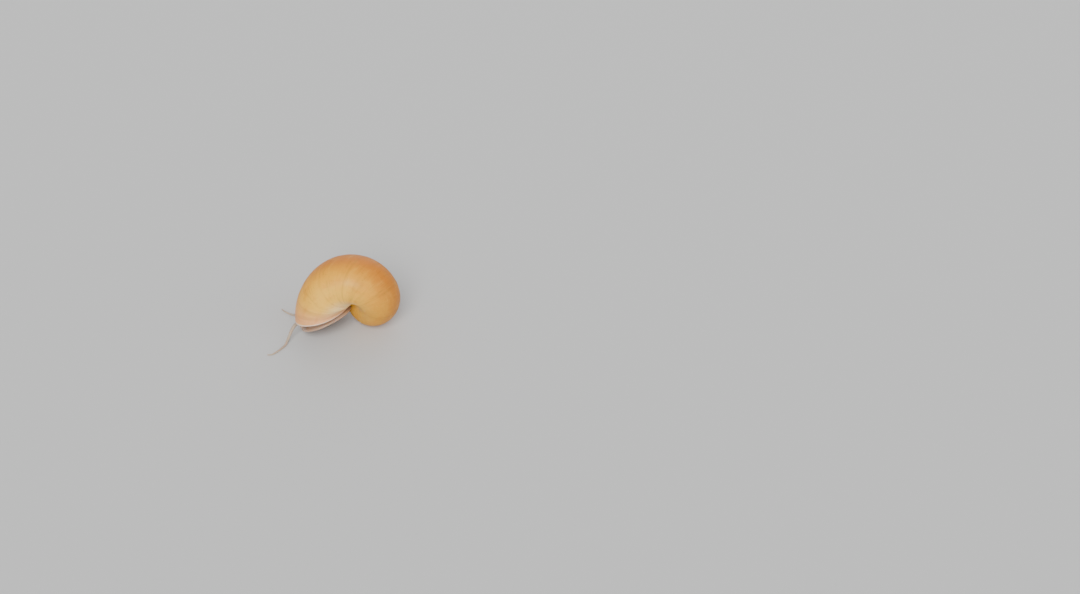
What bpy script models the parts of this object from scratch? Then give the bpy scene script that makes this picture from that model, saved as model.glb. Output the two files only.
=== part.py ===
# A golden apple snail, life size, lying on its round shell with the aperture down.
# The operculum is pushed a little way open. The head fills the slit at the outer lip,
# and the two long tentacles have come out and lie down on the floor.
# Metres, +Z up. X runs along the animal from the tentacle tips to the round of the last whorl.
import math

import bpy
import bmesh
from mathutils import Matrix, Vector

MM = 0.001
TURN = 2.0 * math.pi

# Shell: an oval swept along a spiral that grows about the apex, in shell units
UNIT = 27.57 * MM             # one shell unit, which makes the shell about 42 mm high and wide
GROWTH = 2.32                 # how much the whorl grows in one turn
TURNS = 3.9                   # whorls, counted back from the lip
OVAL_HALF_WIDTH = 0.3965      # whorl section, across the axis
OVAL_HALF_HEIGHT = 0.554      # whorl section, along the axis
OVAL_OUT = 0.516              # section centre, distance from the axis
OVAL_DOWN = 0.947             # section centre, distance below the apex
OVAL_TILT = math.radians(6.2)
LIP_TURN = math.radians(34.0)  # last stretch, over which the lip takes its rake
LIP_RAKE_DOWN = math.radians(-3.7)
LIP_RAKE_OUT = math.radians(-3.1)
WALL = 0.8 * MM               # thickness of the shell at the lip
CAVITY_BACK = math.radians(-58.0)
EARLIER_FROM = math.radians(-470.0)
EARLIER_TO = math.radians(-290.0)
CORE_END = 0.60               # the umbilicus is a pit that ends here, in shell units
CORE_RADIUS = 0.10

# How the shell lies: turns about X, Y and Z, and the place of its apex
LEAN_X = math.radians(-84.2)
LEAN_Y = math.radians(155.9)
LEAN_Z = math.radians(-28.7)
APEX = Vector((20.25, 16.94, 11.25)) * MM

GAP = 0.35 * MM               # clearance between neighbouring pieces
WELD = 0.0001 * MM            # corners closer than this are one
RING = 32                     # sides of a whorl
FLOOR_SLAB = 20.0 * MM

# Operculum: half lengths, place from the apex's foot on the floor, and the way its outer face looks
LID_HALF_LONG = 11.4
LID_HALF_SHORT = 9.2
LID_THICK = 0.7
LID_AT = (-23.5, -15.9, 4.66)
LID_FACES = (0.349, -0.309, -0.885)
LID_LONG_WAY = (0.292, 0.933, -0.21)
LID_RINGS = 6
LID_SIDES = 36
LID_RIB = 0.14

# Soft parts: rows of x, y, z, half width and half height in mm, from the apex's foot on the floor
ACROSS = (0.36, 0.91, -0.22)  # the way the slit runs
HEAD = ((-25.2, -14.9, 14.3, 2.8, 1.9), (-27.7, -15.7, 11.0, 4.2, 2.4), (-30.2, -16.0, 8.9, 4.2, 2.0),
        (-32.1, -16.2, 7.4, 3.6, 1.6), (-33.4, -16.2, 6.4, 2.8, 1.3), (-34.2, -16.2, 5.7, 2.0, 1.0),
        (-34.6, -16.2, 5.4, 0.9, 0.5))
FOOT_FRONT = ((-26.8, -16.3, 8.7, 3.2, 0.8), (-29.7, -16.7, 6.4, 5.0, 0.65), (-32.5, -16.7, 4.7, 5.4, 0.55),
              (-33.7, -16.5, 4.0, 4.8, 0.5), (-34.3, -16.5, 3.7, 3.0, 0.35))
SIPHON = ((-30.8, -21.7, 10.1, 1.3, 0.9), (-32.4, -23.5, 8.7, 1.4, 0.9), (-33.3, -24.7, 7.7, 1.2, 0.8),
          (-33.7, -25.4, 7.2, 0.7, 0.5))
PALP_LEFT = ((-34.1, -17.1, 5.9, 0.6), (-35.0, -17.9, 5.3, 0.5), (-35.6, -18.2, 4.8, 0.3))
PALP_RIGHT = ((-33.7, -15.6, 5.5, 0.6), (-34.3, -15.6, 4.8, 0.5), (-35.0, -15.7, 4.2, 0.3))
TENTACLE_LEFT = ((-32.0, -18.0, 7.3, 0.85), (-34.0, -19.4, 6.6, 0.8), (-35.6, -20.8, 6.0, 0.75),
                 (-36.7, -21.8, 5.6, 0.7), (-38.0, -23.5, 4.2, 0.62), (-39.3, -25.6, 2.1, 0.55),
                 (-40.5, -27.9, 0.65, 0.5), (-42.0, -30.0, 0.42, 0.45), (-43.8, -32.0, 0.37, 0.4),
                 (-45.5, -33.4, 0.31, 0.34), (-47.4, -33.5, 0.24, 0.28))
TENTACLE_RIGHT = ((-31.0, -14.0, 6.6, 0.85), (-32.3, -13.5, 5.6, 0.8), (-33.4, -13.4, 4.6, 0.75),
                  (-34.4, -13.3, 3.9, 0.7), (-35.6, -12.5, 3.6, 0.62), (-36.5, -10.9, 3.0, 0.56),
                  (-37.3, -9.3, 2.1, 0.5), (-38.4, -7.6, 1.0, 0.46), (-39.9, -5.8, 0.39, 0.42),
                  (-41.6, -4.2, 0.33, 0.36), (-43.2, -2.1, 0.24, 0.28))
TENTACLE_CUTS = (0.36, 0.68)  # where a tentacle is parted, as shares of its length
TENTACLE_SIDES = 8
STALK_LEFT = ((-32.0, -18.3, 8.7, 0.8), (-33.4, -19.8, 8.6, 0.65), (-34.3, -20.6, 8.4, 0.5))
STALK_RIGHT = ((-30.2, -12.9, 7.3, 0.8), (-31.1, -11.8, 6.0, 0.65), (-31.8, -11.3, 5.1, 0.5))
EYE_RADIUS = 0.45

# Rear of the foot: rows of depth behind the lid's inner face, half length, half width, and how far
# the pad lies along the lid and towards the lid's inner side, in mm
FOOT_REAR = ((0.0, 11.8, 9.9, -1.1, 0.35), (0.25, 12.6, 10.6, -1.1, 0.35), (0.6, 12.9, 10.9, -1.1, 0.35),
             (0.95, 12.7, 10.7, -1.1, 0.35), (1.25, 12.0, 10.0, -1.1, 0.4), (1.8, 10.9, 8.8, -1.0, 0.8),
             (2.8, 10.2, 8.0, -0.8, 1.3), (4.6, 10.0, 7.4, -0.4, 1.8), (6.6, 8.8, 6.4, 0.0, 1.8),
             (8.2, 6.4, 4.6, 0.2, 1.6), (8.9, 3.4, 2.4, 0.2, 1.6))
FOOT_SIDES = 28
LEAN_BACK = Vector((-0.02, 0.12, 0.0))  # the pad leans this far for each unit of its depth

COLOURS = {
    "shell": ((0.83, 0.46, 0.12), 0.38),
    "operculum": ((0.27, 0.12, 0.05), 0.5),
    "mantle": ((0.72, 0.52, 0.38), 0.45),
    "flesh": ((0.76, 0.60, 0.48), 0.5),
    "foot": ((0.70, 0.60, 0.55), 0.5),
    "tentacle": ((0.66, 0.60, 0.50), 0.45),
    "eye": ((0.02, 0.02, 0.02), 0.15),
}


def clear_scene():
    for old in list(bpy.data.objects):
        bpy.data.objects.remove(old, do_unlink=True)


def material(kind):
    made = bpy.data.materials.get(kind)
    if made is None:
        colour, roughness = COLOURS[kind]
        made = bpy.data.materials.new(kind)
        made.use_nodes = True
        shader = made.node_tree.nodes["Principled BSDF"]
        shader.inputs["Base Color"].default_value = (*colour, 1.0)
        shader.inputs["Roughness"].default_value = roughness
        shader.inputs["Metallic"].default_value = 0.0
    return made


# Meshes

def add_object(name, bm):
    mesh = bpy.data.meshes.new(name)
    bm.to_mesh(mesh)
    bm.free()
    made = bpy.data.objects.new(name, mesh)
    bpy.context.scene.collection.objects.link(made)
    return made


def loft(name, rings):
    """A closed tube through rings of equal count, each end closed by a fan about its middle."""
    bm = bmesh.new()
    loops = [[bm.verts.new(p) for p in ring] for ring in rings]
    count = len(rings[0])
    for low, high in zip(loops, loops[1:]):
        for i in range(count):
            j = (i + 1) % count
            bm.faces.new((low[i], low[j], high[j], high[i]))
    for ends in (loops[0], loops[-1]):
        middle = bm.verts.new(sum((v.co for v in ends), Vector()) / count)
        for i in range(count):
            bm.faces.new((ends[i], ends[(i + 1) % count], middle))
    bmesh.ops.recalc_face_normals(bm, faces=bm.faces)
    return add_object(name, bm)


def combine(target, others, operation):
    """Applies one Boolean of the target with all the others, and removes the others."""
    group = bpy.data.collections.new("operands")
    bpy.context.scene.collection.children.link(group)
    for other in others:
        group.objects.link(other)
    modifier = target.modifiers.new("combine", "BOOLEAN")
    modifier.operation = operation
    modifier.operand_type = "COLLECTION"
    modifier.collection = group
    modifier.solver = "EXACT"
    apply_modifiers(target)
    weld(target)
    for other in others:
        bpy.data.objects.remove(other, do_unlink=True)
    bpy.data.collections.remove(group)
    return target


def weld(target):
    bm = bmesh.new()
    bm.from_mesh(target.data)
    bmesh.ops.remove_doubles(bm, verts=bm.verts, dist=WELD)
    bm.to_mesh(target.data)
    bm.free()


def apply_modifiers(target):
    graph = bpy.context.evaluated_depsgraph_get()
    graph.update()
    mesh = bpy.data.meshes.new_from_object(target.evaluated_get(graph))
    target.modifiers.clear()
    target.data = mesh


def copy_of(source):
    made = source.copy()
    made.data = source.data.copy()
    bpy.context.scene.collection.objects.link(made)
    return made


def cut(target, blockers):
    """Takes the blockers off the target one after another, and keeps the blockers."""
    for blocker in blockers:
        combine(target, [copy_of(blocker)], "DIFFERENCE")
        keep_largest(target)
    return target


def keep_largest(target):
    """Keeps the largest closed surface of a mesh and drops what a cut left loose."""
    bm = bmesh.new()
    bm.from_mesh(target.data)
    seen = set()
    groups = []
    for start in bm.faces:
        if start in seen:
            continue
        seen.add(start)
        stack = [start]
        group = []
        while stack:
            face = stack.pop()
            group.append(face)
            for edge in face.edges:
                for near in edge.link_faces:
                    if near not in seen:
                        seen.add(near)
                        stack.append(near)
        groups.append(group)
    groups.sort(key=lambda faces: sum(f.calc_area() for f in faces))
    loose = [face for group in groups[:-1] for face in group]
    bmesh.ops.delete(bm, geom=loose, context="FACES")
    bmesh.ops.triangulate(bm, faces=[f for f in bm.faces if len(f.verts) > 4])
    bm.to_mesh(target.data)
    bm.free()
    return target


def finish(target, kind, sharp=40.0):
    target.data.materials.clear()
    target.data.materials.append(material(kind))
    target.data.shade_smooth()
    target.data.set_sharp_from_angle(angle=math.radians(sharp))
    return target


# Shell

LEAN = (Matrix.Rotation(LEAN_Z, 3, "Z") @ Matrix.Rotation(LEAN_Y, 3, "Y") @ Matrix.Rotation(LEAN_X, 3, "X"))


def from_shell(x, y, z):
    return APEX + LEAN @ Vector((x, y, z)) * UNIT


def whorl_ring(phi, offset=0.0, reach=0.0, shrink=1.0):
    """The whorl's section at an angle phi back from the lip, grown by offset metres."""
    grow_here = GROWTH ** (phi / TURN)
    extra = offset / UNIT / grow_here
    rake = max(0.0, min(1.0, 1.0 + phi / LIP_TURN)) ** 2
    points = []
    for i in range(RING):
        s = TURN * i / RING
        u = (OVAL_HALF_WIDTH + extra) * math.cos(s) * shrink
        v = (OVAL_HALF_HEIGHT + extra) * math.sin(s) * shrink
        x = OVAL_OUT + u * math.cos(OVAL_TILT) - v * math.sin(OVAL_TILT)
        z = OVAL_DOWN + u * math.sin(OVAL_TILT) + v * math.cos(OVAL_TILT)
        turned = phi + rake * (LIP_RAKE_DOWN * (z - OVAL_DOWN) / OVAL_HALF_HEIGHT
                               + LIP_RAKE_OUT * (x - OVAL_OUT) / OVAL_HALF_WIDTH)
        grow = GROWTH ** (turned / TURN)
        x = max(x, 0.004)
        points.append(from_shell(grow * x * math.cos(turned), -grow * x * math.sin(turned) - reach, -grow * z))
    return points


def whorl(name, start, end, step, offset=0.0, reach=0.0):
    """One length of the spiral tube, between two angles back from the lip."""
    count = max(2, round((end - start) / step))
    rings = [whorl_ring(start + (end - start) * i / count, offset) for i in range(count + 1)]
    if reach:
        rings.append(whorl_ring(end, offset, reach))
    return loft(name, rings)


def spiral_lengths(start_turns, end_turns, offset=0.0):
    """Half turns of the spiral, in steps that grow coarser towards the apex."""
    lengths = []
    end = end_turns
    while end > start_turns + 0.01:
        start = max(start_turns, end - 0.5)
        step = math.radians(10.0 if end > -1.01 else 15.0 if end > -2.01 else 22.5)
        lengths.append(whorl("length", start * TURN, end * TURN, step, offset))
        end = start
    return lengths


def core(offset=0.0):
    """Fills the umbilicus from the apex down to its pit."""
    rings = []
    for down, radius in ((0.03, 0.01), (CORE_END * 0.5, CORE_RADIUS * 0.5), (CORE_END, CORE_RADIUS)):
        size = radius + offset / UNIT
        rings.append([from_shell(size * math.cos(TURN * i / 16), size * math.sin(TURN * i / 16), -down)
                      for i in range(16)])
    return loft("core", rings)


def floor_slab():
    bm = bmesh.new()
    bmesh.ops.create_cube(bm, size=1.0)
    bmesh.ops.scale(bm, verts=bm.verts, vec=(0.2, 0.2, FLOOR_SLAB))
    bmesh.ops.translate(bm, verts=bm.verts, vec=(0.0, 0.0, -FLOOR_SLAB / 2.0))
    return add_object("floor_slab", bm)


def flatten(target):
    return combine(target, [floor_slab()], "DIFFERENCE")


def hollow(offset, back, before_parietal):
    """The space inside the last stretch of the whorl, open past the lip."""
    space = whorl("hollow", back, 0.0, math.radians(10.0), offset, reach=0.55)
    return combine(space, [earlier_whorl(before_parietal)], "DIFFERENCE")


def build_shell():
    lengths = spiral_lengths(-TURNS, 0.0)
    shell = combine(lengths[0], lengths[1:] + [core()], "UNION")
    shell.name = "shell"
    combine(shell, [hollow(-WALL, CAVITY_BACK, 0.05 * MM)], "DIFFERENCE")
    flatten(shell)
    return finish(keep_largest(shell), "shell", 50.0)


def earlier_whorl(offset):
    """The earlier whorl behind the aperture, which the body lies against."""
    return whorl("earlier", EARLIER_FROM, EARLIER_TO, math.radians(12.0), offset)


def shell_clearance():
    """The shell grown by the gap, open at the aperture, to keep the soft parts off it."""
    lengths = spiral_lengths(-2.0, 0.0, GAP)
    grown_shell = combine(lengths[0], lengths[1:] + [core(GAP)], "UNION")
    return combine(grown_shell, [hollow(-WALL - GAP, CAVITY_BACK, GAP)], "DIFFERENCE")


# Soft parts

def spot(x, y, z):
    return Vector((APEX.x + x * MM, APEX.y + y * MM, z * MM))


def smooth_rows(rows, per_span):
    """Rows read off a smooth curve through the given ones."""
    out = []
    last = len(rows) - 1
    for i in range(last):
        before, here, there, after = (rows[max(i - 1, 0)], rows[i], rows[i + 1], rows[min(i + 2, last)])
        for k in range(per_span):
            t = k / per_span
            row = []
            for p0, p1, p2, p3 in zip(before, here, there, after):
                slope = 2.0 * p1 + (p2 - p0) * t
                curve = (2.0 * p0 - 5.0 * p1 + 4.0 * p2 - p3) * t * t
                row.append(0.5 * (slope + curve + (3.0 * p1 - p0 - 3.0 * p2 + p3) * t ** 3))
            out.append(row)
    out.append(list(rows[last]))
    return out


def ring_about(centre, ahead, across, half_width, half_height, sides):
    side = (across - ahead * across.dot(ahead)).normalized()
    up = ahead.cross(side)
    return [centre + side * (half_width * math.cos(TURN * i / sides)) + up * (half_height * math.sin(TURN * i / sides))
            for i in range(sides)]


def sweep(name, rows, across, sides, extra=0.0):
    """A soft tube along rows of x, y, z, half width and half height in mm, grown by extra metres."""
    centres = [spot(*row[:3]) for row in rows]
    centres[0] += (centres[0] - centres[1]).normalized() * extra
    centres[-1] += (centres[-1] - centres[-2]).normalized() * extra
    rings = []
    for i, row in enumerate(rows):
        ahead = (centres[min(i + 1, len(rows) - 1)] - centres[max(i - 1, 0)]).normalized()
        half_width = row[3] * MM + extra
        half_height = row[4] * MM + extra if len(row) > 4 else half_width
        rings.append(ring_about(centres[i], ahead, across, half_width, half_height, sides))
    return loft(name, rings)


def lobe(name, rows, sides, per_span, extra=0.0):
    return sweep(name, smooth_rows(rows, per_span), Vector(ACROSS), sides, extra)


def lid_frame():
    """The lid's middle, the way its outer face looks, and its long and short ways."""
    faces = Vector(LID_FACES).normalized()
    long_way = Vector(LID_LONG_WAY)
    long_way = (long_way - faces * long_way.dot(faces)).normalized()
    return spot(*LID_AT), faces, long_way, faces.cross(long_way)


def lid_ring(size, height, sides, extra=0.0, nucleus=0.28):
    """One oval of the lid, at a share of its size and a height in mm above its middle plane."""
    centre, faces, long_way, short_way = lid_frame()
    shift = (1.0 - size) * nucleus
    points = []
    for i in range(sides):
        angle = TURN * i / sides
        along = (LID_HALF_LONG * size * MM + extra) * math.cos(angle)
        aside = (LID_HALF_SHORT * size * MM + extra) * math.sin(angle) + LID_HALF_SHORT * shift * MM
        points.append(centre + long_way * along + short_way * aside + faces * height * MM)
    return points


def build_operculum():
    """A thin horny lid with raised growth rings round a nucleus near its inner side."""
    half = LID_THICK / 2.0
    rings = [lid_ring(0.3, -half, LID_SIDES), lid_ring(0.75, -half, LID_SIDES),
             lid_ring(0.97, -half * 0.8, LID_SIDES), lid_ring(1.0, 0.0, LID_SIDES)]
    for k in range(LID_RINGS):
        size = 0.98 - 0.15 * k
        dish = half - 0.25 * (1.0 - size)
        rings.append(lid_ring(size, dish, LID_SIDES))
        rings.append(lid_ring(size - 0.075, dish - LID_RIB, LID_SIDES))
    return loft("operculum", rings)


def operculum_clearance():
    reach = LID_THICK / 2.0 + GAP / MM
    return loft("lid_clear", [lid_ring(1.0, side * reach, LID_SIDES, GAP) for side in (-1.0, 1.0)])


def foot_pad(name, extra=0.0):
    """The rear of the foot, a thick pad that carries the operculum, grown by extra metres."""
    centre, faces, long_way, short_way = lid_frame()
    rings = []
    for depth, half_long, half_short, along, inwards in FOOT_REAR:
        height = (LID_THICK / 2.0 + depth) * MM + GAP + (extra if depth else -extra)
        middle = centre - faces * height + (long_way * along + short_way * inwards) * MM + LEAN_BACK * depth * MM
        rings.append(ring_about(middle, -faces, short_way, half_short * MM + extra, half_long * MM + extra,
                                FOOT_SIDES))
    return loft(name, rings)


def build_mantle():
    """The mantle behind the foot, with a thick collar inside the lip."""
    offset = -WALL - GAP
    stations = [math.radians(a) for a in (-55.0, -46.0, -37.0, -28.0, -19.0, -11.0)]
    rings = [whorl_ring(a, offset) for a in stations]
    rings.append(whorl_ring(math.radians(-9.5), offset, shrink=0.93))
    rings.append(whorl_ring(math.radians(-12.0), offset, shrink=0.84))
    rings.append(whorl_ring(math.radians(-16.0), offset, shrink=0.60))
    return loft("mantle", rings)


def parted(rows, shares):
    """Splits rows into lengths at shares of the whole, a gap apart."""
    lengths = [0.0]
    for a, b in zip(rows, rows[1:]):
        lengths.append(lengths[-1] + math.dist(a[:3], b[:3]))
    whole = lengths[-1]

    def row_at(run):
        for k in range(len(rows) - 1):
            if run <= lengths[k + 1] or k == len(rows) - 2:
                t = (run - lengths[k]) / (lengths[k + 1] - lengths[k])
                return [a + (b - a) * t for a, b in zip(rows[k], rows[k + 1])]

    gap = GAP / MM
    edges = [0.0] + [share * whole for share in shares] + [whole]
    out = []
    for start, end in zip(edges, edges[1:]):
        first = start + (gap / 2.0 if start else 0.0)
        last = end - (gap / 2.0 if end < whole else 0.0)
        inner = [rows[k] for k in range(len(rows)) if first + 0.3 < lengths[k] < last - 0.3]
        out.append([row_at(first)] + inner + [row_at(last)])
    return out


def rounded_tip(rows):
    """Adds a small round end to a tapering tube."""
    end, before = Vector(rows[-1][:3]), Vector(rows[-2][:3])
    ahead = (end - before).normalized()
    radius = rows[-1][3]
    return rows + [[*(end + ahead * radius * 0.6), radius * 0.75], [*(end + ahead * radius), radius * 0.3]]


def build_tentacle(name, rows, head_clear, wall):
    pieces = []
    spine = smooth_rows(rows, 3)
    lengths = parted(spine, TENTACLE_CUTS)
    lengths[-1] = rounded_tip(lengths[-1])
    for number, part in enumerate(lengths, start=1):
        piece = sweep(f"{name}_{number}", part, Vector((0.0, 0.0, 1.0)), TENTACLE_SIDES)
        if number == 1:
            cut(piece, [head_clear, wall])
        flatten(piece)
        pieces.append(finish(keep_largest(piece), "tentacle"))
    return pieces


def ball(name, centre, radius):
    bm = bmesh.new()
    bmesh.ops.create_icosphere(bm, subdivisions=2, radius=radius)
    bmesh.ops.translate(bm, verts=bm.verts, vec=centre)
    return add_object(name, bm)


def build_eye(name, rows, blockers):
    """A short stalk on the head with a round eye set in its end."""
    tip = Vector(rows[-1][:3])
    ahead = (tip - Vector(rows[-2][:3])).normalized()
    centre = spot(*(tip + ahead * (EYE_RADIUS * 0.35)))
    stalk = sweep(f"eyestalk_{name}", smooth_rows(rows, 2), Vector((0.0, 0.0, 1.0)), 10)
    socket = ball("socket", centre, EYE_RADIUS * MM + GAP)
    cut(stalk, blockers + [socket])
    bpy.data.objects.remove(socket, do_unlink=True)
    finish(stalk, "flesh")
    eye = ball(f"eye_{name}", centre, EYE_RADIUS * MM)
    finish(cut(eye, blockers), "eye")


def soft(piece, blockers, kind):
    """Cuts a soft piece clear of what it grows from and lies against."""
    cut(piece, blockers)
    flatten(piece)
    return finish(keep_largest(piece), kind, 60.0)


def build():
    clear_scene()
    build_shell()
    wall = shell_clearance()
    lid = build_operculum()
    cut(lid, [wall])
    flatten(lid)
    finish(keep_largest(lid), "operculum", 30.0)
    lid_clear = operculum_clearance()
    head_clear = lobe("head_clear", HEAD, 20, 3, GAP)
    front_clear = lobe("front_clear", FOOT_FRONT, 18, 3, GAP)
    rear_clear = foot_pad("rear_clear", GAP)
    siphon_clear = lobe("siphon_clear", SIPHON, 12, 2, GAP)
    guard = earlier_whorl(GAP)

    soft(lobe("head", HEAD, 20, 3), [wall, lid_clear], "flesh")
    soft(lobe("foot_front", FOOT_FRONT, 18, 3), [wall, head_clear, lid_clear], "foot")
    soft(foot_pad("foot_rear"), [wall, head_clear, front_clear, lid_clear], "foot")
    soft(lobe("siphon", SIPHON, 12, 2), [wall, head_clear, rear_clear, front_clear, lid_clear], "mantle")
    soft(build_mantle(), [head_clear, rear_clear, front_clear, siphon_clear, guard], "mantle")
    for name, rows in (("palp_left", PALP_LEFT), ("palp_right", PALP_RIGHT)):
        palp = sweep(name, smooth_rows(rows, 2), Vector((0.0, 0.0, 1.0)), 8)
        soft(palp, [wall, head_clear, front_clear, lid_clear], "flesh")
    build_tentacle("tentacle_left", TENTACLE_LEFT, head_clear, wall)
    build_tentacle("tentacle_right", TENTACLE_RIGHT, head_clear, wall)
    build_eye("left", STALK_LEFT, [wall, head_clear, front_clear, rear_clear])
    build_eye("right", STALK_RIGHT, [wall, head_clear, front_clear, rear_clear])
    for guide in (wall, lid_clear, head_clear, front_clear, rear_clear, siphon_clear, guard):
        bpy.data.objects.remove(guide, do_unlink=True)


build()
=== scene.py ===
import math

import bmesh
import bpy
from mathutils import Matrix, Vector, noise
from mathutils.kdtree import KDTree


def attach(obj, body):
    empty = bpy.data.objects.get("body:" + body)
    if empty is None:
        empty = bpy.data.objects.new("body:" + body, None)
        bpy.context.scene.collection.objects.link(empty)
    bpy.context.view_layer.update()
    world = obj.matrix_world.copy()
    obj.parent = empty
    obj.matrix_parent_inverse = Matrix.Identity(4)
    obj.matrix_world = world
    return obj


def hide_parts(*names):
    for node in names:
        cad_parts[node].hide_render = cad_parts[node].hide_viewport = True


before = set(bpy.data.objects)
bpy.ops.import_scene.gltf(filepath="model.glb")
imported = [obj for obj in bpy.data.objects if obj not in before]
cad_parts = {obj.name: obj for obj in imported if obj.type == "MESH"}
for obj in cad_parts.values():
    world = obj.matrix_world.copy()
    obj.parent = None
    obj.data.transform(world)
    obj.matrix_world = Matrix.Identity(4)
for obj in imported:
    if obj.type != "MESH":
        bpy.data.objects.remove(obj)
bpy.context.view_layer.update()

mm = 0.001
turn = 2.0 * math.pi

# Where the shell's apex is; the soft parts are set out from its foot on the floor
apex = Vector((20.25, 16.94, 11.25)) * mm


def spot(x, y, z):
    return Vector((apex.x + x * mm, apex.y + y * mm, z * mm))


# Camera, at the photograph's viewing angle

cameraSet = {
    "away": 488.9,  # mm from the point it is aimed by
    "aim": (0.0, 0.0, -5.925),
    "elevation": 36.114,
    "roll": 2.459,
    "lens": 36.667,
    "offCentre": (-156.371, 16.457),  # where the aim point falls, from the middle of a 1080 wide picture
    "pixelLens": 1100.0,  # the focal length in that picture's pixels
}


def placeCamera(c):
    rise = math.radians(c["elevation"])
    roll = math.radians(c["roll"])
    right = Vector((1.0, 0.0, 0.0))
    up = Vector((0.0, math.sin(rise), math.cos(rise)))
    ahead = Vector((0.0, math.cos(rise), -math.sin(rise)))
    rightRolled = right * math.cos(roll) - up * math.sin(roll)
    upRolled = right * math.sin(roll) + up * math.cos(roll)
    level = Matrix((rightRolled, upRolled, ahead))
    toAim = Vector((c["offCentre"][0] / c["pixelLens"], -c["offCentre"][1] / c["pixelLens"], 1.0))
    rows = Vector((0.0, 0.0, 1.0)).rotation_difference(toAim).to_matrix() @ level
    data = bpy.data.cameras.new("camera")
    data.lens = c["lens"]
    data.sensor_width = 36.0
    data.clip_start = 0.01
    data.clip_end = 100.0
    camera = bpy.data.objects.new("camera", data)
    bpy.context.scene.collection.objects.link(camera)
    aim = Vector((apex.x, apex.y, 0.0)) + Vector(c["aim"]) * mm
    turned = Matrix((rows[0], rows[1], -rows[2])).transposed().to_4x4()
    camera.matrix_world = Matrix.Translation(aim - ahead * c["away"] * mm) @ turned
    bpy.context.scene.camera = camera


placeCamera(cameraSet)
print("camera set")


# Small helpers for meshes

def addPiece(name, bm):
    mesh = bpy.data.meshes.new(name)
    bm.to_mesh(mesh)
    bm.free()
    mesh.shade_smooth()
    piece = bpy.data.objects.new(name, mesh)
    bpy.context.scene.collection.objects.link(piece)
    return piece


def bakeModifiers(piece):
    graph = bpy.context.evaluated_depsgraph_get()
    graph.update()
    mesh = bpy.data.meshes.new_from_object(piece.evaluated_get(graph))
    piece.modifiers.clear()
    piece.data = mesh
    mesh.shade_smooth()


def extrudeLoop(bm, loop):
    # one more ring of points, joined to the last by faces
    made = bmesh.ops.extrude_edge_only(bm, edges=loop)["geom"]
    points = {p for p in made if isinstance(p, bmesh.types.BMVert)}
    edges = [e for e in made if isinstance(e, bmesh.types.BMEdge) and all(v in points for v in e.verts)]
    return edges, points


def closeRing(bm, ring):
    # fills an open ring with a fan about its middle
    kept = set(ring)
    edges = list({e for v in ring for e in v.link_edges if e.is_boundary and kept.issuperset(e.verts)})
    middle = sum((v.co for v in ring), Vector()) / len(kept)
    bmesh.ops.pointmerge(bm, verts=list(extrudeLoop(bm, edges)[1]), merge_co=middle)


def smoothRows(rows, perSpan):
    # rows read off a smooth curve through the given ones
    out = []
    last = len(rows) - 1
    for i in range(last):
        before, here, there, after = rows[max(i - 1, 0)], rows[i], rows[i + 1], rows[min(i + 2, last)]
        for k in range(perSpan):
            t = k / perSpan
            out.append([0.5 * (2.0 * b + (c - a) * t + (2.0 * a - 5.0 * b + 4.0 * c - d) * t * t
                               + (3.0 * b - a - 3.0 * c + d) * t ** 3)
                        for a, b, c, d in zip(before, here, there, after)])
    out.append(list(rows[last]))
    return out


def softTube(bm, rows, across, sides, facing=None):
    # a closed tube along rows of x, y, z, half width and half height; its sections stand square to the
    # tube, or all face one way
    centres = [spot(*row[:3]) for row in rows]
    loop = bmesh.ops.create_circle(bm, segments=sides, radius=1.0)["verts"]
    shape = {v: v.co.copy() for v in loop}
    order = list(loop)
    edges = list({e for v in loop for e in v.link_edges})
    for i, row in enumerate(rows):
        ahead = facing or (centres[min(i + 1, len(rows) - 1)] - centres[max(i - 1, 0)]).normalized()
        side = (across - ahead * across.dot(ahead)).normalized()
        up = ahead.cross(side)
        wide = row[3] * mm
        tall = row[4] * mm if len(row) > 4 else wide
        if i:
            old = {v: shape[v] for e in edges for v in e.verts}
            edges, points = extrudeLoop(bm, edges)
            for v in points:
                parent = next(e.other_vert(v) for e in v.link_edges if e.other_vert(v) in old)
                shape[v] = old[parent]
            order = list(points)
        for v in order:
            v.co = centres[i] + side * (shape[v].x * wide) + up * (shape[v].y * tall)
    closeRing(bm, loop)
    closeRing(bm, order)


# Shader sockets that take part in plain arithmetic

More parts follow.
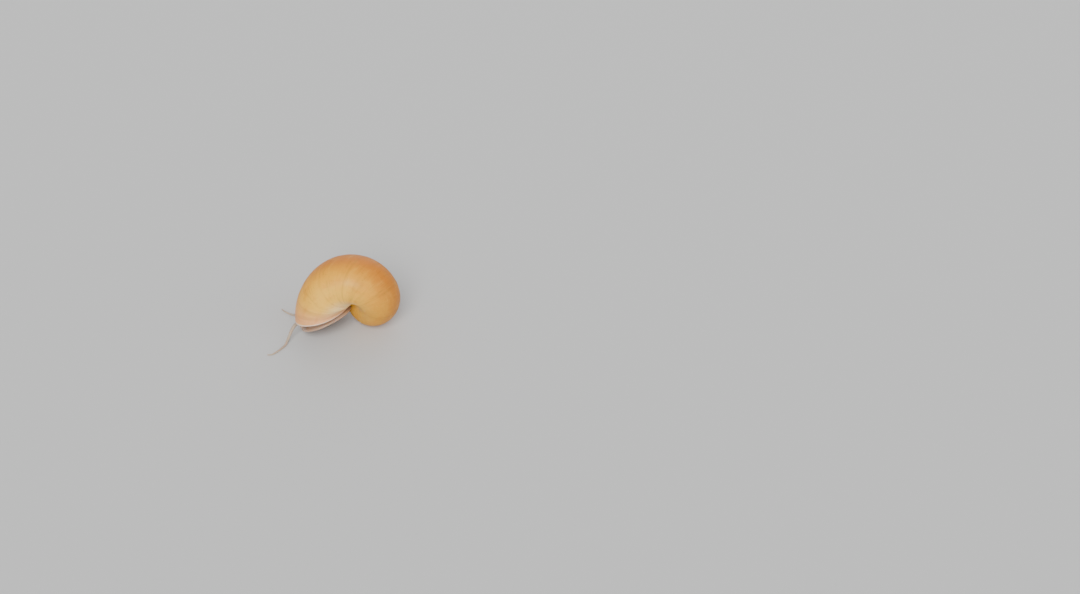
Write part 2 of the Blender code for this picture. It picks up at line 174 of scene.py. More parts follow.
class Wire:
    def __init__(self, tree, socket=None):
        self.tree = tree
        self.socket = socket

    def node(self, kind, settings=None, inputs=None, out=0):
        made = self.tree.nodes.new("ShaderNode" + kind)
        for name, value in (settings or {}).items():
            setattr(made, name, value)
        for name, value in (inputs or {}).items():
            if isinstance(value, Wire):
                self.tree.links.new(value.socket, made.inputs[name])
            else:
                made.inputs[name].default_value = value
        return Wire(self.tree, made.outputs[out])

    def math(self, operation, *values):
        return self.node("Math", {"operation": operation}, dict(enumerate(values)))

    def __add__(self, other):
        return self.math("ADD", self, other)

    def __sub__(self, other):
        return self.math("SUBTRACT", self, other)

    def __rsub__(self, other):
        return self.math("SUBTRACT", other, self)

    def __mul__(self, other):
        return self.math("MULTIPLY", self, other)

    __radd__ = __add__
    __rmul__ = __mul__

    def smooth(self, low, high):
        # 0 below low, 1 above high, and eased between them
        return self.node("MapRange", {"interpolation_type": "SMOOTHSTEP"},
                         {"Value": self, "From Min": low, "From Max": high})

    def fall(self, low, high):
        # 1 below low, 0 above high, and eased between them
        return 1.0 - self.smooth(low, high)

    def plain(self, first):
        # one colour, to lay the others over
        return self.node("Mix", {"data_type": "RGBA"}, {0: 0.0, 6: first, 7: first}, 2)

    def noise(self, scale, detail=3.0, roughness=0.5):
        return self.node("TexNoise", None, {"Vector": self, "Scale": scale, "Detail": detail,
                                            "Roughness": roughness}, "Fac")

    def spots(self, scale):
        return self.node("TexVoronoi", None, {"Vector": self, "Scale": scale}, "Distance")

    def stretch(self, x, y, z):
        return self.node("VectorMath", {"operation": "MULTIPLY"}, {0: self, 1: (x, y, z)})

    def blend(self, colour, factor):
        # this colour with another laid over it by a factor
        return self.node("Mix", {"data_type": "RGBA"}, {0: factor, 6: self, 7: colour}, 2)

    def parts(self):
        split = self.node("SeparateXYZ", None, {0: self})
        return [Wire(self.tree, split.socket.node.outputs[k]) for k in range(3)]


def newMaterial(name, fixed):
    made = bpy.data.materials.new(name)
    made.use_nodes = True
    shader = made.node_tree.nodes["Principled BSDF"]
    for socket, value in fixed.items():
        shader.inputs[socket].default_value = value
    return made, shader, Wire(made.node_tree)


def feed(shader, **wires):
    for name, wire in wires.items():
        wire.tree.links.new(wire.socket, shader.inputs[name.replace("_", " ")])


def objectPlace(start):
    return start.node("TexCoord", None, None, "Object")


def colour(red, green, blue):
    return (red, green, blue, 1.0)


# Shell: an oval carried along a spiral that grows about the apex

shellSet = {
    # a unit in mm, the growth with each whorl, and the oval's half sizes and place in units
    "unit": 27.57, "growth": 2.32, "turns": 4.15,
    "halfWide": 0.3965, "halfTall": 0.554, "out": 0.516, "down": 0.947, "tilt": 6.2,
    "rakeTurn": 34.0, "rakeDown": -3.7, "rakeOut": -3.1,
    # degrees by which the inner lip reaches further round, and where on the oval
    "wrap": 8.0, "wrapAt": 170.0,
    # mm by which the side of the umbilicus is fuller, where on the oval, and over how many whorls it sets in
    "fill": 2.1, "fillAt": 160.0, "fillEase": 0.12,
    "lean": (-84.2, 155.9, -28.7),
    "sides": 132,
    "steps": ((1.05, 1.25), (2.1, 3.0), (5.0, 6.0)),  # degrees of each step, up to so many whorls back
    "wall": 0.55, "wallInside": 0.75, "inside": 62.0,
    "swell": ((8.0, 0.13), (26.0, 0.06), (70.0, 0.03)),  # how many to a whorl, and mm of uneven growth
    # where growth paused, in whorls back from the lip, and the mm of the low ridge it left
    "rests": ((0.036, 0.03), (0.083, 0.05), (0.155, 0.03), (0.205, 0.04), (0.31, 0.06), (0.42, 0.03),
              (0.47, 0.05), (0.60, 0.07), (0.71, 0.04), (0.80, 0.06), (0.93, 0.08), (1.10, 0.06),
              (1.36, 0.08), (1.7, 0.07), (2.1, 0.07), (2.6, 0.06)),
    "restWide": 0.0065, "restShade": 10.0,
    "lipPlain": 0.03,  # whorls back from the lip over which the uneven growth sets in
    # the rounded rim of the lip: mm forward of it, and mm in from the outer face
    "rim": ((0.06, 0.05), (0.14, 0.20), (0.14, 0.35), (0.06, 0.50), (-0.12, 0.55)),
    "insideStep": 3.0, "insideStart": -0.01, "thickenOver": 20.0,
}


def shellLean(s):
    x, y, z = (math.radians(a) for a in s["lean"])
    return Matrix.Rotation(z, 4, "Z") @ Matrix.Rotation(y, 4, "Y") @ Matrix.Rotation(x, 4, "X")


def shellWhole(s):
    # from shell units about the apex to metres
    return Matrix.Translation(apex) @ shellLean(s) @ Matrix.Diagonal((s["unit"] * mm,) * 3 + (1.0,))


def shellRing(s, phi, inset):
    # the matrix that takes a unit circle to the whorl's section at an angle back from the lip
    grow = s["growth"] ** (phi / turn)
    thin = inset / (s["unit"] * grow)
    oval = Matrix.Diagonal((s["halfWide"] - thin, s["halfTall"] - thin, 1.0, 1.0))
    tilt = Matrix.Rotation(math.radians(s["tilt"]), 4, "Z")
    place = Matrix.Translation((s["out"], s["down"], 0.0)) @ tilt @ oval
    stand = Matrix(((1.0, 0.0, 0.0, 0.0), (0.0, 0.0, 1.0, 0.0), (0.0, -1.0, 0.0, 0.0), (0.0, 0.0, 0.0, 1.0)))
    return stand @ place


def facingShare(c, n, degrees, power):
    # 1 where the oval's point looks that way, and falling off to both sides
    at = math.radians(degrees)
    return max(0.0, c * math.cos(at) + n * math.sin(at)) ** power


def placeShellRing(s, layer, points, phi, inset, whole, fill=0.0):
    ring = shellRing(s, phi, inset)
    rake = max(0.0, min(1.0, 1.0 + phi / math.radians(s["rakeTurn"]))) ** 2
    for v in points:
        c, n = v[layer][0], v[layer][1]
        fuller = fill / s["unit"] * facingShare(c, n, s["fillAt"], 2.0)
        flat = ring @ Vector((c + c * fuller / s["halfWide"], n + n * fuller / s["halfTall"], 0.0))
        extra = rake * (math.radians(s["rakeDown"]) * (-flat.z - s["down"]) / s["halfTall"]
                        + math.radians(s["rakeOut"]) * (flat.x - s["out"]) / s["halfWide"]
                        + math.radians(s["wrap"]) * facingShare(c, n, s["wrapAt"], 3.0))
        angle = phi + extra
        v.co = whole @ Matrix.Rotation(-angle, 4, "Z") @ (flat * s["growth"] ** (angle / turn))
        v.co.z = max(v.co.z, 0.0)  # the small flat that it rests on
        v[layer] = (c, n, phi / turn)


def restMark(s, phi):
    # mm of ridge at an angle back from the lip: steep on the younger side, easy on the older
    ridge = 0.0
    for at, height in s["rests"]:
        away = (-phi / turn - at) / s["restWide"]
        ridge += height * (math.exp(-away * away * 0.5) if away > 0.0 else math.exp(-away * away * 4.0))
    return ridge


def swelling(s, phi):
    # uneven growth, kept off the lip
    run = -phi / turn
    wave = sum(deep * noise.noise(Vector((run * often, 2.0 + 5.0 * often, 5.0)))
               for often, deep in s["swell"])
    return -(wave + restMark(s, phi)) * s["growth"] ** (phi / turn) * min(1.0, run / s["lipPlain"])


def buildShell(s):
    whole = shellWhole(s)
    bm = bmesh.new()
    layer = bm.verts.layers.float_vector.new("section")
    marks = bm.verts.layers.float.new("rest")
    circle = bmesh.ops.create_circle(bm, segments=s["sides"], radius=1.0)["verts"]
    for v in circle:
        v[layer] = (v.co.x, v.co.y, 0.0)
    lipEdges = list({e for v in circle for e in v.link_edges})
    placeShellRing(s, layer, circle, 0.0, 0.0, whole)

    edges = lipEdges
    phi = 0.0
    while phi > -s["turns"] * turn:
        step = next(degrees for limit, degrees in s["steps"] if -phi / turn < limit)
        phi -= math.radians(step)
        edges, points = extrudeLoop(bm, edges)
        fill = s["fill"] * min(1.0, -phi / turn / s["fillEase"])
        placeShellRing(s, layer, points, phi, swelling(s, phi), whole, fill)
        for v in points:
            v[marks] = restMark(s, phi) * s["restShade"]
    closeRing(bm, points)
    outside = set(bm.faces)

    # the rim of the lip, and the wall inside it
    edges = lipEdges
    reach = s["unit"] * (s["out"] + s["halfWide"])
    for forward, inset in s["rim"]:
        edges, points = extrudeLoop(bm, edges)
        placeShellRing(s, layer, points, forward / reach, inset, whole)
    phi = s["insideStart"]
    while phi > -math.radians(s["inside"]):
        phi -= math.radians(s["insideStep"])
        deep = min(1.0, -phi / math.radians(s["thickenOver"]))
        edges, points = extrudeLoop(bm, edges)
        placeShellRing(s, layer, points, phi, s["wall"] + (s["wallInside"] - s["wall"]) * deep, whole)
    closeRing(bm, points)
    for face in bm.faces:
        face.material_index = 0 if face in outside else 1
    bmesh.ops.recalc_face_normals(bm, faces=bm.faces)
    return addPiece("shell_whorls", bm)


shellPaint = {
    "gold": colour(0.91, 0.42, 0.025),
    "pale": colour(0.98, 0.56, 0.070),
    # cream on the shell is partly painted light: it lifts the shade in the umbilical pocket
    "cream": colour(0.95, 0.73, 0.38),
    "deep": colour(0.66, 0.20, 0.006),
    "browner": colour(0.50, 0.21, 0.018),
    "spire": colour(0.44, 0.13, 0.010),
    "flush": colour(0.84, 0.37, 0.18),
    "rim": colour(0.86, 0.67, 0.53),
    "line": colour(0.28, 0.10, 0.015),
    "worn": colour(0.66, 0.52, 0.36),
}


def shellMaterial(p):
    made, shader, start = newMaterial("shellGold", {
        "Specular IOR Level": 0.28, "Subsurface Weight": 0.12, "Subsurface Scale": 0.002,
        "Subsurface Radius": (1.0, 0.45, 0.2), "Coat Weight": 0.06, "Coat Roughness": 0.22})
    section = start.node("Attribute", {"attribute_name": "section"}, None, "Vector")
    rest = start.node("Attribute", {"attribute_name": "rest"}, None, "Fac")
    out, down, run = section.parts()
    place = objectPlace(start)
    broad = place.noise(75.0, 3.0)
    cloud = section.stretch(3.2, 3.2, 15.0).noise(1.0, 4.0, 0.6)
    fine = place.noise(1300.0, 4.0, 0.65)

    # growth lines follow the lip: quick along the whorl, slow round it
    grain = section.stretch(0.9, 0.9, 52.0).noise(1.0, 5.0, 0.7)
    threads = section.stretch(1.6, 1.6, 260.0).noise(1.0, 3.0, 0.6)
    bands = section.stretch(0.30, 0.30, 15.0).noise(1.0, 2.0, 0.5)

    # gold on the base side and pale by the umbilicus; deep on the shoulder and the outer edge
    side = down * 0.8 - out * 0.65 + (broad - 0.5) * 0.8
    skin = start.plain(p["deep"]).blend(p["gold"], side.smooth(-0.78, 0.30))
    skin = skin.blend(p["pale"], side.smooth(0.1, 1.0) * 0.8)
    # browner and darker from about a quarter to two thirds of a whorl behind the lip, away from the umbilicus
    skin = skin.blend(p["browner"], run.fall(-0.62, -0.28) * out.smooth(-0.95, 0.1) * 0.5)
    # cream by the umbilicus on the last whorl: partly the shell's own paler tone, partly painted light that
    # lifts the shade of the umbilical pocket
    skin = skin.blend(p["cream"], out.fall(-0.92, -0.28) * run.smooth(-1.6, -0.9) * 0.85)
    skin = skin.blend(p["spire"], run.fall(-2.0, -0.85) * 0.75)
    skin = skin.blend(p["flush"], run.smooth(-0.12, -0.015) * (down * 0.5 + 0.55).smooth(0.1, 0.9) * 0.8)
    skin = skin.blend(p["pale"], cloud.smooth(0.50, 0.75) * 0.20)
    skin = skin.blend(p["deep"], cloud.fall(0.28, 0.50) * 0.30)
    skin = skin.blend(p["line"], bands.smooth(0.56, 0.74) * 0.24)
    skin = skin.blend(p["line"], grain.smooth(0.52, 0.74) * 0.30)
    skin = skin.blend(p["pale"], grain.fall(0.28, 0.46) * 0.28)
    skin = skin.blend(p["line"], threads.smooth(0.52, 0.72) * 0.20)
    skin = skin.blend(p["line"], rest.smooth(0.1, 0.8) * 0.24)
    specks = place.spots(420.0).fall(0.07, 0.16) * broad.smooth(0.42, 0.62)
    skin = skin.blend(p["line"], specks * 0.22)
    skin = skin.blend(p["worn"], run.fall(-3.0, -1.9) * place.noise(900.0, 4.0, 0.7).smooth(0.46, 0.60) * 0.8)
    skin = skin.blend(p["rim"], run.smooth(-0.0095, -0.002) * 0.9)
    relief = grain * 0.55 + threads * 0.35 + bands * 0.4 + fine * 0.16 + cloud * 0.2
    bump = start.node("Bump", None, {"Strength": 0.7, "Distance": 0.00022, "Height": relief})
    feed(shader, Base_Color=skin, Roughness=0.36 + grain * 0.18 + fine * 0.12, Normal=bump)
    return made


def shellInsideMaterial(p):
    made, shader, start = newMaterial("shellInside", {"IOR": 1.52, "Coat Weight": 0.3, "Coat Roughness": 0.2})
    section = start.node("Attribute", {"attribute_name": "section"}, None, "Vector")
    run = section.parts()[2]
    grain = section.stretch(0.4, 0.4, 45.0).noise(1.0, 3.0)
    skin = start.plain(p["flush"]).blend(p["deep"], run.fall(-0.10, -0.01) * 0.8)
    skin = skin.blend(p["rim"], run.smooth(-0.012, -0.002))
    skin = skin.blend(p["line"], grain.smooth(0.5, 0.8) * 0.15)
    bump = start.node("Bump", None, {"Strength": 0.3, "Distance": 0.0001, "Height": grain})
    feed(shader, Base_Color=skin, Roughness=0.22 + grain * 0.12, Normal=bump)
    return made


shell = buildShell(shellSet)
shell.data.materials.append(shellMaterial(shellPaint))
shell.data.materials.append(shellInsideMaterial(shellPaint))
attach(shell, "root")
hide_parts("shell")
print("shell built,", len(shell.data.polygons), "faces")


# Soft body: one skin over the head, foot, mantle, palps, eye stalks, siphon and tentacles

across = Vector((0.36, 0.91, -0.22))  # the way the slit runs
upward = Vector((0.0, 0.0, 1.0))

lidSet = {
    "at": (-23.5, -15.9, 4.66), "faces": (0.349, -0.309, -0.885), "longWay": (0.292, 0.933, -0.21),
    "halfLong": 11.4, "halfShort": 9.2, "thick": 0.7, "edge": 0.34,
    "nucleus": 0.28, "dish": 0.28,  # how far the middle of growth lies off centre, and how hollow the face is
    "sides": 160, "rings": 96, "ridges": 19.0, "ridge": 0.035,
    # how far in the rings go, how wide the edge is rounded and how uneven the rings are, as shares of the
    # lid's size, and how fast it thickens from the edge
    "hub": 0.97, "bevel": 0.05, "wander": 0.012, "thicken": 4.0,
}


def lidFrame(s):
    # the lid's middle, the way its outer face looks, and its long and short ways
    faces = Vector(s["faces"]).normalized()
    longWay = Vector(s["longWay"])
    longWay = (longWay - faces * longWay.dot(faces)).normalized()
    return spot(*s["at"]), faces, longWay, faces.cross(longWay)


lidMiddle, lidFaces, lidLong, lidShort = lidFrame(lidSet)

bodySet = {
    # tubes as rows of x, y, z in mm, half width and half height
    "head": ((-25.2, -14.9, 14.3, 2.8, 1.9), (-27.7, -15.7, 11.0, 4.2, 2.4), (-30.2, -16.0, 8.9, 4.2, 2.0),
             (-32.1, -16.2, 7.4, 3.6, 1.6), (-33.4, -16.2, 6.4, 2.8, 1.3), (-34.2, -16.2, 5.7, 2.0, 1.0),
             (-34.6, -16.2, 5.4, 0.9, 0.5)),
    "footFront": ((-26.8, -16.3, 8.7, 3.2, 0.8), (-29.7, -16.7, 6.4, 5.0, 0.65),
                  (-32.5, -16.7, 4.7, 5.4, 0.55), (-33.7, -16.5, 4.0, 4.8, 0.5),
                  (-34.3, -16.5, 3.7, 3.0, 0.35)),
    "siphon": ((-30.8, -21.7, 10.1, 1.3, 0.9), (-32.4, -23.5, 8.7, 1.4, 0.9), (-33.3, -24.7, 7.7, 1.2, 0.8),
               (-33.7, -25.4, 7.2, 0.7, 0.5)),
    "palps": (((-33.2, -16.8, 6.4, 0.7), (-34.1, -17.1, 5.9, 0.6), (-35.0, -17.9, 5.3, 0.5),
               (-35.6, -18.2, 4.8, 0.28)),
              ((-33.0, -15.6, 6.2, 0.7), (-33.7, -15.6, 5.5, 0.6), (-34.3, -15.6, 4.8, 0.5),
               (-35.0, -15.7, 4.2, 0.28))),
    "stalks": (((-30.9, -17.6, 8.7, 0.9), (-32.0, -18.3, 8.7, 0.8), (-33.4, -19.8, 8.6, 0.65),
                (-34.2, -20.5, 8.4, 0.52)),
               ((-30.0, -14.0, 8.0, 0.9), (-30.2, -12.9, 7.3, 0.8), (-31.1, -11.8, 6.0, 0.65),
                (-31.7, -11.35, 5.2, 0.52))),
    # the rear foot: mm behind the lid's middle, half length, half width, and its place along the lid and
    # towards the lid's inner side; the first rows are the seat of the lid and the margin that stands round it
    "pad": ((0.80, 7.5, 6.0, 0.0, 0.0), (0.76, 11.1, 8.9, 0.0, 0.0), (0.42, 11.6, 9.42, -0.03, 0.02),
            (0.10, 12.0, 9.85, -0.3, 0.15), (0.10, 12.6, 10.4, -0.65, 0.3), (0.33, 13.05, 10.9, -0.85, 0.35),
            (0.80, 13.05, 10.85, -0.9, 0.35), (1.2, 12.5, 10.3, -0.95, 0.4), (1.7, 11.5, 9.3, -1.0, 0.6),
            (2.5, 10.6, 8.4, -0.9, 1.0), (3.5, 10.2, 8.0, -0.8, 1.3), (5.3, 10.0, 7.4, -0.4, 1.8),
            (7.3, 8.8, 6.4, 0.0, 1.8), (8.9, 6.4, 4.6, 0.2, 1.6), (9.6, 3.4, 2.4, 0.2, 1.6)),
    # how far the foot slants for each mm that it goes in, past so many mm
    "padLean": (-0.02, 0.12, 0.0), "padLeanPast": 0.7,
    "sides": {"head": 36, "footFront": 36, "siphon": 24, "pad": 96, "limbs": 20},
    "perSpan": 4, "padPerSpan": 3,
    "voxel": 0.18, "smooth": 4,
    "folds": ((0.55, 0.06), (1.7, 0.035)),  # how many to a millimetre, and how deep in mm
    "sway": (0.16, 0.22),  # the slow swelling of the margin: how many to a millimetre, and how deep in mm
    "foldSharp": 2.6, "swayTop": 0.3,
}


def padRows(b):
    rows = []
    for back, halfLong, halfShort, along, inwards in b["pad"]:
        slant = Vector(b["padLean"]) * max(0.0, back - b["padLeanPast"])
        point = lidMiddle + (lidLong * along + lidShort * inwards - lidFaces * back + slant) * mm
        place = (point - Vector((apex.x, apex.y, 0.0))) / mm
        rows.append((*place, halfShort, halfLong))
    return rows


mantleSet = {
    # degrees back from the lip, and mm in from the shell's outer face: out along the wall, then the
    # rolled edge of the collar, then back down into the mantle cavity
    "stations": ((-34.0, 1.03), (-27.0, 1.03), (-20.0, 1.03), (-13.0, 1.03), (-10.0, 1.1), (-8.8, 1.4),
                 (-8.6, 1.9), (-9.6, 2.5), (-11.5, 3.1), (-14.5, 4.2), (-18.0, 5.4)),
    "sides": 72,
}


def buildMantle(bm, m):
    layer = bm.verts.layers.float_vector.new("section")
    circle = bmesh.ops.create_circle(bm, segments=m["sides"], radius=1.0)["verts"]
    for v in circle:
        v[layer] = (v.co.x, v.co.y, 0.0)
    edges = list({e for v in circle for e in v.link_edges})
    points = circle
    for k, (degrees, inset) in enumerate(m["stations"]):
        if k:
            edges, points = extrudeLoop(bm, edges)
        placeShellRing(shellSet, layer, points, math.radians(degrees), inset, shellWhole(shellSet))
    closeRing(bm, circle)
    closeRing(bm, points)


def remesh(piece, size):
    modifier = piece.modifiers.new("remesh", "REMESH")
    modifier.mode = "VOXEL"
    modifier.voxel_size = size * mm
    bakeModifiers(piece)


def joinInto(piece, others):
    # one union that leaves a single closed skin
    group = bpy.data.collections.new("joined")
    bpy.context.scene.collection.children.link(group)
    for other in others:
        group.objects.link(other)
    modifier = piece.modifiers.new("join", "BOOLEAN")
    modifier.operation = "UNION"
    modifier.operand_type = "COLLECTION"
    modifier.collection = group
    modifier.solver = "MANIFOLD"
    bakeModifiers(piece)
    for other in others:
        bpy.data.objects.remove(other, do_unlink=True)
    bpy.data.collections.remove(group)


tentacleSet = {
    "left": ((-31.0, -17.2, 8.0, 0.95), (-32.0, -18.0, 7.3, 0.88), (-34.0, -19.4, 6.6, 0.82),
             (-35.6, -20.8, 6.0, 0.76), (-36.7, -21.8, 5.6, 0.7), (-38.0, -23.5, 4.2, 0.62),
             (-39.3, -25.6, 2.1, 0.54), (-40.5, -27.9, 0.65, 0.48), (-42.0, -30.0, 0.42, 0.42),
             (-43.8, -32.0, 0.36, 0.36), (-45.5, -33.4, 0.29, 0.29), (-47.4, -33.5, 0.2, 0.2)),
    "right": ((-30.6, -14.6, 7.6, 0.95), (-31.0, -14.0, 6.6, 0.88), (-32.3, -13.5, 5.6, 0.82),
              (-33.4, -13.4, 4.6, 0.76), (-34.4, -13.3, 3.9, 0.7), (-35.6, -12.5, 3.6, 0.62),
              (-36.5, -10.9, 3.0, 0.55), (-37.3, -9.3, 2.1, 0.48), (-38.4, -7.6, 1.0, 0.42),
              (-39.9, -5.8, 0.39, 0.38), (-41.6, -4.2, 0.32, 0.32), (-43.2, -2.1, 0.2, 0.2)),
    # the rings' height as a share of the half width, how often they come, and a slower unevenness
    "sides": 20, "perSpan": 10, "rings": 0.035, "ringsOften": 2.1, "uneven": 0.05, "unevenOften": 0.35,
}


def buildTentacle(name, rows, t):
    smooth = smoothRows(rows, t["perSpan"])
    shaped = []
    for k, row in enumerate(smooth):
        ripple = (1.0 + t["rings"] * math.sin(k * t["ringsOften"])
                  + t["uneven"] * noise.noise(Vector((k * t["unevenOften"], 3.0, 1.0))))
        shaped.append((row[0], row[1], row[2], row[3] * ripple))
    bm = bmesh.new()
    softTube(bm, shaped, upward, t["sides"])
    bmesh.ops.recalc_face_normals(bm, faces=bm.faces)
    return addPiece(name, bm)


def foldSkin(bm, b):
    # soft creases and wrinkles, pushed in along the normals
    bm.normal_update()
    often, deep = b["sway"]
    for v in bm.verts:
        push = deep * min(b["swayTop"], noise.noise(v.co / mm * often + Vector((2.0, 11.0, 5.0))))
        for k, (perMm, depth) in enumerate(b["folds"]):
            wave = noise.noise(v.co / mm * perMm + Vector((3.0 * k, 7.0, 1.0)))
            push -= depth * (1.0 - abs(wave) * b["foldSharp"]) ** 2
        v.co += v.normal * push * mm


def buildBody(b):
    bm = bmesh.new()
    buildMantle(bm, mantleSet)
    for part in ("head", "footFront", "siphon"):
        softTube(bm, smoothRows(b[part], b["perSpan"]), across, b["sides"][part])
    softTube(bm, smoothRows(padRows(b), b["padPerSpan"]), lidShort, b["sides"]["pad"], -lidFaces)
    for rows in b["palps"] + b["stalks"]:
        softTube(bm, smoothRows(rows, b["perSpan"]), upward, b["sides"]["limbs"])
    bmesh.ops.recalc_face_normals(bm, faces=bm.faces)
    piece = addPiece("body_skin", bm)
    remesh(piece, b["voxel"])
    bm = bmesh.new()
    bm.from_mesh(piece.data)
    for _ in range(b["smooth"]):
        bmesh.ops.smooth_vert(bm, verts=bm.verts, factor=0.5, use_axis_x=True, use_axis_y=True,
                              use_axis_z=True)
    foldSkin(bm, b)
    bm.to_mesh(piece.data)
    bm.free()
    return piece


body = buildBody(bodySet)
print("body remeshed,", len(body.data.polygons), "faces")
joinInto(body, [buildTentacle("tentacle_" + side, tentacleSet[side], tentacleSet)
                for side in ("left", "right")])


def spineTree(rowSets, perSpan):
    # the points of some middle lines, each with its half width and its run from the root
    spine = []
    for rows in rowSets:
        run = 0.0
        smooth = smoothRows(rows, perSpan)
        for k, row in enumerate(smooth):
            run += math.dist(row[:3], smooth[max(k - 1, 0)][:3])
            spine.append((spot(*row[:3]), row[3] * mm, run))
    tree = KDTree(len(spine))
    for k, row in enumerate(spine):
        tree.insert(row[0], k)
    tree.balance()
    return tree, spine


zoneSet = {
    "perSpan": 12,
    "inside": 1.6, "fade": 0.8,  # a tentacle's skin lies about one half width from its middle line
    "start": 1.2, "ease": 2.0,  # mm from the root where it starts, and over which it comes in
}


def finishBody(piece, s):
    # rests the tentacles on the floor, and marks what each part of the skin is
    bm = bmesh.new()
    bm.from_mesh(piece.data)
    bmesh.ops.triangulate(bm, faces=[f for f in bm.faces if len(f.verts) > 4])
    zones = bm.verts.layers.float_vector.new("zones")
    tree, spine = spineTree([tentacleSet["left"], tentacleSet["right"]], s["perSpan"])
    for v in bm.verts:
        v.co.z = max(v.co.z, 0.0)
        k, away = tree.find(v.co)[1:]
        radius, run = spine[k][1:]
        near = max(0.0, min(1.0, s["inside"] - away / radius * s["fade"]))
        tentacle = near * max(0.0, min(1.0, (run - s["start"]) / s["ease"]))
        behind = -(v.co - lidMiddle).dot(lidFaces) / mm
        v[zones] = (tentacle, run, behind)
    bm.to_mesh(piece.data)
    bm.free()
    piece.data.shade_smooth()
    piece.data.materials.clear()


finishBody(body, zoneSet)

fleshPaint = {
    "cream": colour(0.56, 0.40, 0.28),
    "pink": colour(0.50, 0.28, 0.20),
    "margin": colour(0.45, 0.28, 0.17),
    "lilac": colour(0.44, 0.32, 0.31),
    "grey": colour(0.47, 0.39, 0.28),
    "gold": colour(0.72, 0.40, 0.08),
    "shade": colour(0.20, 0.12, 0.09),
}


def fleshMaterial(p):
    made, shader, start = newMaterial("fleshMoist", {
        "IOR": 1.38, "Subsurface Weight": 0.3, "Subsurface Scale": 0.0012,
        "Subsurface Radius": (1.0, 0.5, 0.35), "Coat Weight": 0.35, "Coat Roughness": 0.15})
    place = objectPlace(start)
    zones = start.node("Attribute", {"attribute_name": "zones"}, None, "Vector")
    tentacle, run, behind = zones.parts()
    soft = place.noise(260.0, 3.0)
    wrinkle = place.noise(1500.0, 4.0, 0.6)
    pores = place.spots(2300.0)
    margin = behind.fall(1.2, 2.1) * (1.0 - tentacle)

    skin = start.plain(p["cream"]).blend(p["pink"], soft.smooth(0.40, 0.62) * 0.7)
    skin = skin.blend(p["lilac"], place.noise(180.0, 2.0).smooth(0.45, 0.65) * 0.5)
    skin = skin.blend(p["grey"], tentacle * 0.75)
    flecked = pores.fall(0.12, 0.26) * place.noise(500.0).smooth(0.42, 0.6)
    skin = skin.blend(p["gold"], flecked * (1.0 - tentacle * 0.6) * 0.7)
    skin = skin.blend(p["shade"], wrinkle.smooth(0.56, 0.8) * 0.3)
    # painted shade: the flesh darkens the deeper it lies behind the lid, in the slit under the lip
    skin = skin.blend(p["shade"], behind.smooth(1.6, 3.6) * (1.0 - tentacle) * 0.38)
    skin = skin.blend(p["margin"], margin * 0.85)
    skin = skin.blend(p["lilac"], margin * soft.smooth(0.45, 0.6) * 0.3)
    rings = (run * 18.0).math("SINE", run * 18.0) * tentacle
    skin = skin.blend(p["shade"], rings.smooth(0.3, 1.0) * 0.16)
    relief = wrinkle * 0.6 + pores * 0.4 + rings * 0.12
    bump = start.node("Bump", None, {"Strength": 0.6, "Distance": 0.00012, "Height": relief})
    feed(shader, Base_Color=skin, Roughness=0.34 + wrinkle * 0.22, Normal=bump)
    return made


body.data.materials.append(fleshMaterial(fleshPaint))
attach(body, "root")
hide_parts("head", "foot_front", "foot_rear", "mantle", "siphon", "palp_left", "palp_right",
            "eyestalk_left", "eyestalk_right", "tentacle_left_1", "tentacle_left_2", "tentacle_left_3",
            "tentacle_right_1", "tentacle_right_2", "tentacle_right_3")
print("body skin built,", len(body.data.polygons), "faces")


# Operculum: a thin horny plate that grew in rings round a point near its inner side

def placeLidRing(s, layer, points, size, height):
    shift = (1.0 - size) * s["nucleus"]
    for v in points:
        c, n = v[layer][0], v[layer][1]
        wave = 1.0 + s["wander"] * noise.noise(Vector((c * 1.5, n * 1.5, size * 2.0))) * size
        along = s["halfLong"] * size * c * wave
        aside = s["halfShort"] * (size * n * wave + shift)
        v.co = lidMiddle + (lidLong * along + lidShort * aside + lidFaces * height) * mm
        v.co.z = max(v.co.z, 0.0)
        v[layer] = (c, n, size)


def buildLid(s):
    bm = bmesh.new()
    layer = bm.verts.layers.float_vector.new("growth")
    circle = bmesh.ops.create_circle(bm, segments=s["sides"], radius=1.0)["verts"]
    for v in circle:
        v[layer] = (v.co.x, v.co.y, 1.0)
    placeLidRing(s, layer, circle, 1.0, 0.0)
    rim = list({e for v in circle for e in v.link_edges})
    half = s["thick"] / 2.0
    for side in (1.0, -1.0):
        edges = rim
        for k in range(1, s["rings"]):
            size = 1.0 - s["hub"] * k / (s["rings"] - 1)
            thin = min(1.0, ((1.0 - size) / s["bevel"])) ** 0.5
            thick = s["edge"] + (half - s["edge"]) * min(1.0, (1.0 - size) * s["thicken"])
            height = side * thick * thin
            height -= s["dish"] * (1.0 - size)
            if side > 0.0:
                wave = 0.7 * noise.noise(Vector((size * 40.0, 1.0, 2.0)))
                height += s["ridge"] * (math.sin(size * turn * s["ridges"]) + wave)
            edges, points = extrudeLoop(bm, edges)
            placeLidRing(s, layer, points, size, height)
        closeRing(bm, points)
    bmesh.ops.recalc_face_normals(bm, faces=bm.faces)
    return addPiece("operculum_plate", bm)


lidPaint = {
    "brown": colour(0.17, 0.062, 0.028),
    "dark": colour(0.055, 0.022, 0.013),
    "red": colour(0.26, 0.088, 0.04),
    "edge": colour(0.38, 0.20, 0.10),
}


